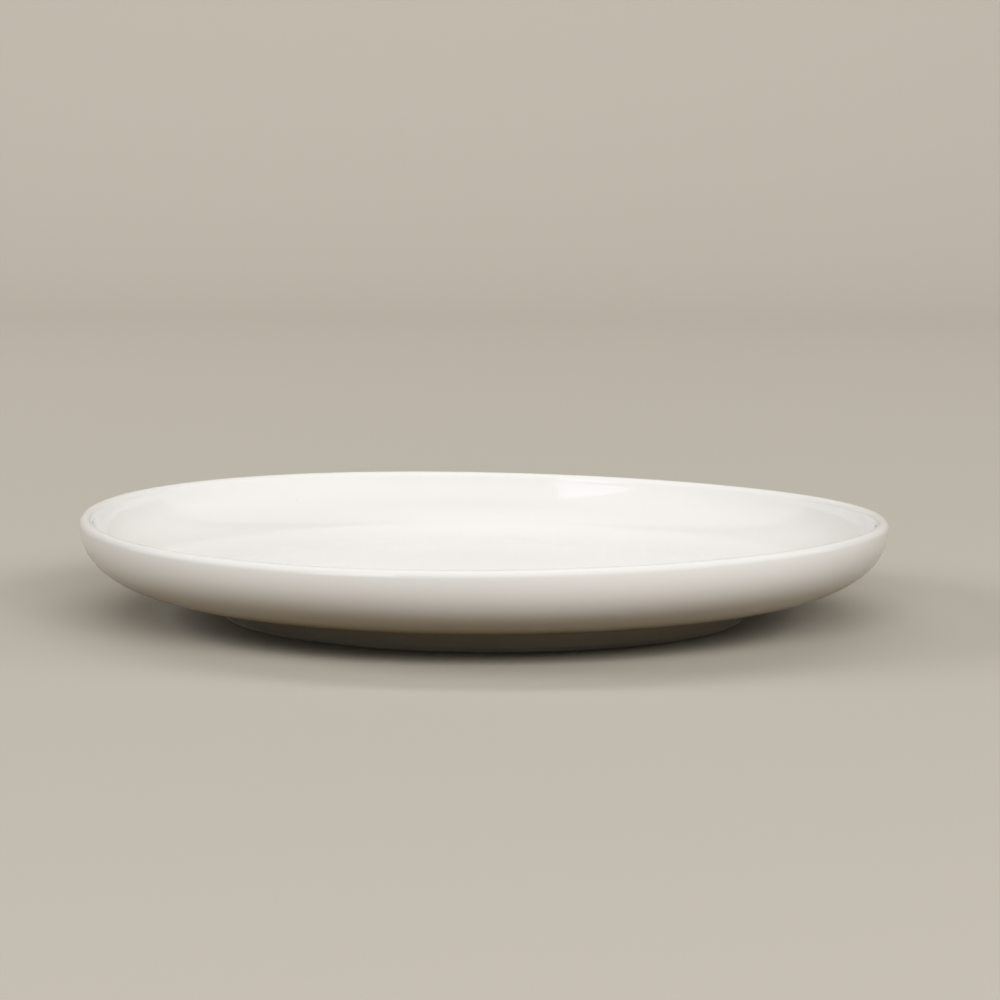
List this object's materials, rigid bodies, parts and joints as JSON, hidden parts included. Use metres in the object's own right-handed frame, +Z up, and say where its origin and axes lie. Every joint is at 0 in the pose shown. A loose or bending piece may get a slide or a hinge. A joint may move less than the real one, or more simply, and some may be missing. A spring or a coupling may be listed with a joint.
{
  "type": "side plate",
  "caption": "Round white glazed porcelain side plate with a flat well, a curved upstanding wall, a soft rounded lip and a bare-edged foot ring.",
  "frame": {"origin": "centre of the foot ring, on the surface that the plate stands on", "axes": "+Z up along the plate's axis of turning; +X and +Y lie in the standing plane"},
  "size_m": [0.2, 0.2, 0.0244],
  "materials": {
    "bare_porcelain": "unglazed fired porcelain, smooth and matt",
    "white_glaze": "glossy warm white glaze"
  },
  "bodies": {
    "root": {"porcelain_body": "bare_porcelain", "upper_glaze": "white_glaze", "base_glaze": "white_glaze"}
  },
  "joints": []
}
